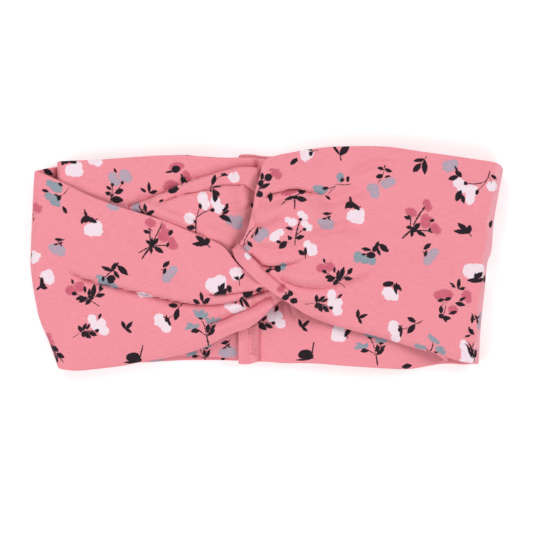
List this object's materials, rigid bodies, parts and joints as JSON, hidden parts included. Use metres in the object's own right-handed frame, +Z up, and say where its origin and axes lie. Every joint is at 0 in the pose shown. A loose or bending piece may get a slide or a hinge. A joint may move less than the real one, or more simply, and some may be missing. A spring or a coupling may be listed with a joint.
{
  "type": "knotted headband",
  "caption": "Wide stretch jersey headband laid flat: folded fabric tubes hooked through each other in a front knot, sewn at the back.",
  "frame": {"origin": "middle of the footprint, on the surface that the band lies on", "axes": "+X along the band, towards the strip that crosses over the knot; +Y across the band, towards the edge worn towards the crown; +Z up, out of the knot's front"},
  "size_m": [0.2409, 0.115, 0.019],
  "materials": {
    "jersey": "matte cotton jersey with a small floral print on pink",
    "thread": "pink polyester sewing thread"
  },
  "bodies": {
    "back": {"left_strip_back": "jersey", "right_strip_back": "jersey", "back_seam_stitches": "thread", "back_seam_overlock": "thread", "left_tube_seam_back": "thread", "right_tube_seam_back": "thread"},
    "front": {"left_strip_front": "jersey", "right_strip_front": "jersey", "left_tube_seam_front": "thread", "right_tube_seam_front": "thread"}
  },
  "joints": [
    {"name": "loop_opens", "type": "slide", "parent": "back", "child": "front", "axis": [0, 0, 1], "range_m": [0, 0.045]}
  ]
}
